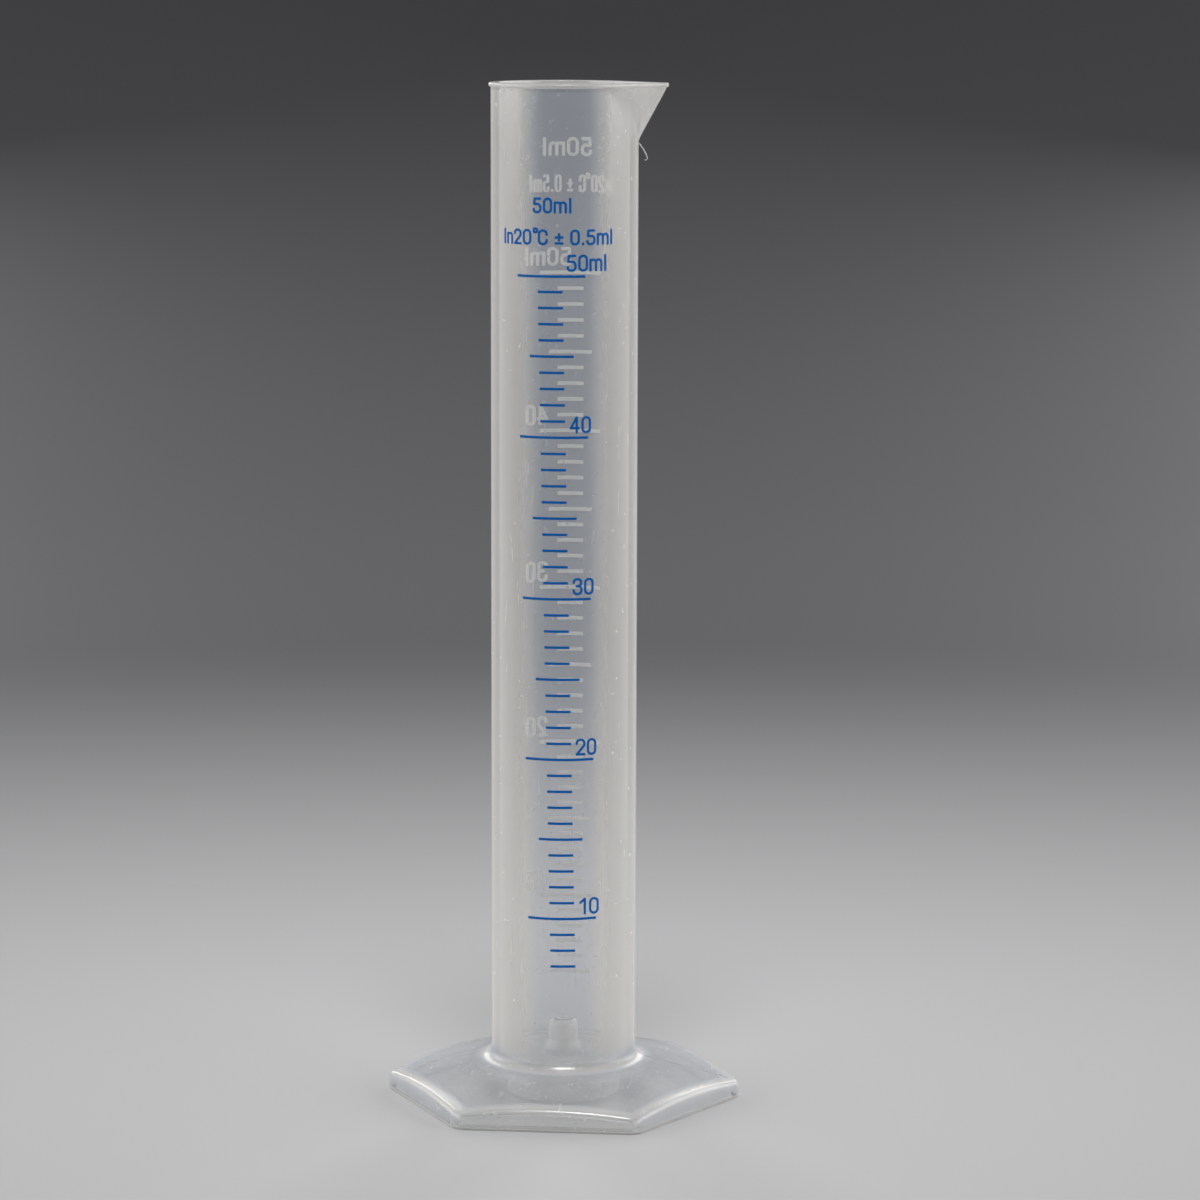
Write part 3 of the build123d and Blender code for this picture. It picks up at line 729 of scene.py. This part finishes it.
# The stage's colour paints a pool of light: pale under the object, darker from DARK_FROM metres away and on
# the wall
STAGE_PAINTED_POOL = (0.61, 0.61, 0.615, 1)       # under the object
STAGE_PAINTED_DARK = (0.12, 0.12, 0.125, 1)       # from DARK_FROM metres away
DARK_FROM = 0.5
WORLD_COLOUR = (0.86, 0.88, 0.92, 1)
WORLD_STRENGTH = 0.15


def make_camera():
    data = bpy.data.cameras.new("camera")
    data.sensor_width = CAMERA_SENSOR
    data.lens = CAMERA_LENS
    data.clip_start = 0.05
    data.clip_end = 20
    camera = bpy.data.objects.new("camera", data)
    around = Matrix.Rotation(CAMERA_AZIMUTH, 4, "Z")
    place = Matrix.Translation((0, -CAMERA_DISTANCE, CAMERA_HEIGHT))
    yaw = Matrix.Rotation(-CAMERA_YAW, 4, "Z")
    pitch = Matrix.Rotation(math.radians(90) - CAMERA_PITCH, 4, "X")
    roll = Matrix.Rotation(CAMERA_ROLL, 4, "Z")
    camera.matrix_world = around @ place @ yaw @ pitch @ roll
    bpy.context.scene.collection.objects.link(camera)
    bpy.context.scene.camera = camera


def make_stage():
    """A floor that sweeps up all round into a wall, coloured with a painted pool of light: pale under the
    object, darker outwards and on the wall.
    """
    profile = [(r, 0.0) for r in (0.15, 0.3, 0.45, 0.6)]
    profile += [(FLOOR_R + SWEEP_R * math.sin(a), SWEEP_R * (1 - math.cos(a)))
                for a in np.linspace(0, math.pi / 2, 25)]
    profile.append((FLOOR_R + SWEEP_R, WALL_TOP))
    segments = STAGE_SEGMENTS
    vertices = [(0, 0, 0)]
    for radius, height in profile:
        vertices += [(radius * math.cos(2 * math.pi * s / segments),
                      radius * math.sin(2 * math.pi * s / segments), height) for s in range(segments)]
    faces = [(0, 1 + s, 1 + (s + 1) % segments) for s in range(segments)]
    for row in range(len(profile) - 1):
        for s in range(segments):
            a, b = 1 + row * segments + s, 1 + row * segments + (s + 1) % segments
            faces.append((a, a + segments, b + segments, b))
    mesh = bpy.data.meshes.new("stage")
    mesh.from_pydata(vertices, [], faces)
    mesh.shade_smooth()
    stage = bpy.data.objects.new("stage", mesh)
    bpy.context.scene.collection.objects.link(stage)
    g = Graph("stage")
    distance = g.node("ShaderNodeVectorMath", operation="LENGTH")
    g.feed(distance.inputs[0], g.where())
    # the painted pool of light fades from the middle out to DARK_FROM
    far = g.ramp(distance.outputs["Value"], 0.0, DARK_FROM)
    solid = g.node("ShaderNodeBsdfPrincipled")
    g.feed(solid.inputs["Base Color"], g.blend(far, STAGE_PAINTED_POOL, STAGE_PAINTED_DARK))
    solid.inputs["Roughness"].default_value = 0.7
    solid.inputs["Specular IOR Level"].default_value = 0.2
    out = g.node("ShaderNodeOutputMaterial")
    g.feed(out.inputs["Surface"], solid.outputs[0])
    dress(stage, g.material)


def softbox(name, azimuth_deg, distance, height, width, tall, power):
    """An area light, azimuth_deg round from the camera, aimed at the object's middle. Metres and watts."""
    data = bpy.data.lights.new(name, "AREA")
    data.shape = "RECTANGLE"
    data.size = width
    data.size_y = tall
    data.energy = power
    light = bpy.data.objects.new(name, data)
    azimuth = CAMERA_AZIMUTH + math.radians(azimuth_deg)
    light.location = (distance * math.sin(azimuth), -distance * math.cos(azimuth), height)
    to_object = Vector((0, 0, HEIGHT * MM / 2)) - light.location
    light.rotation_euler = to_object.to_track_quat("-Z", "Y").to_euler()
    light.visible_camera = False
    bpy.context.scene.collection.objects.link(light)


def make_lights():
    softbox("left_softbox", -92, distance=0.9, height=0.38, width=1.8, tall=0.52, power=6.1)
    softbox("right_softbox", 92, distance=0.9, height=0.38, width=1.75, tall=0.52, power=6.4)
    softbox("left_rim", -157, distance=1.0, height=0.44, width=0.25, tall=0.6, power=2.0)
    softbox("right_rim", 157, distance=1.0, height=0.44, width=0.25, tall=0.6, power=2.3)
    softbox("top_softbox", 0, distance=0.3, height=0.85, width=0.25, tall=0.25, power=3.0)
    world = bpy.data.worlds.new("world")
    world.use_nodes = True
    world.node_tree.nodes["Background"].inputs["Color"].default_value = WORLD_COLOUR
    world.node_tree.nodes["Background"].inputs["Strength"].default_value = WORLD_STRENGTH
    bpy.context.scene.world = world


# ---- Assembly ----------------------------------------------------------------------------------

CLEAR_HAZE = 0.15
RELIEF_HAZE = 1.5


def main():
    make_camera()
    make_lights()
    make_stage()

    plastic = polypropylene("clear_polypropylene", CLEAR_HAZE)
    raised = polypropylene("raised_polypropylene", RELIEF_HAZE, solid_parts=False)
    blue = ink()

    body = moulded_body()
    dress(body, plastic)
    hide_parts("barrel", "pouring_spout", "rim_bead", "barrel_floor", "gate_boss",
                "support_ring", "foot_shell", "parting_line")
    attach(body, "root")

    for name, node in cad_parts.items():
        if name.startswith("ink_"):
            dress(node, blue)
        elif name.startswith("relief_"):
            dress(node, raised)

    bpy.context.scene.view_settings.view_transform = "Standard"
    bpy.context.scene.cycles.transparent_max_bounces = 32


main()
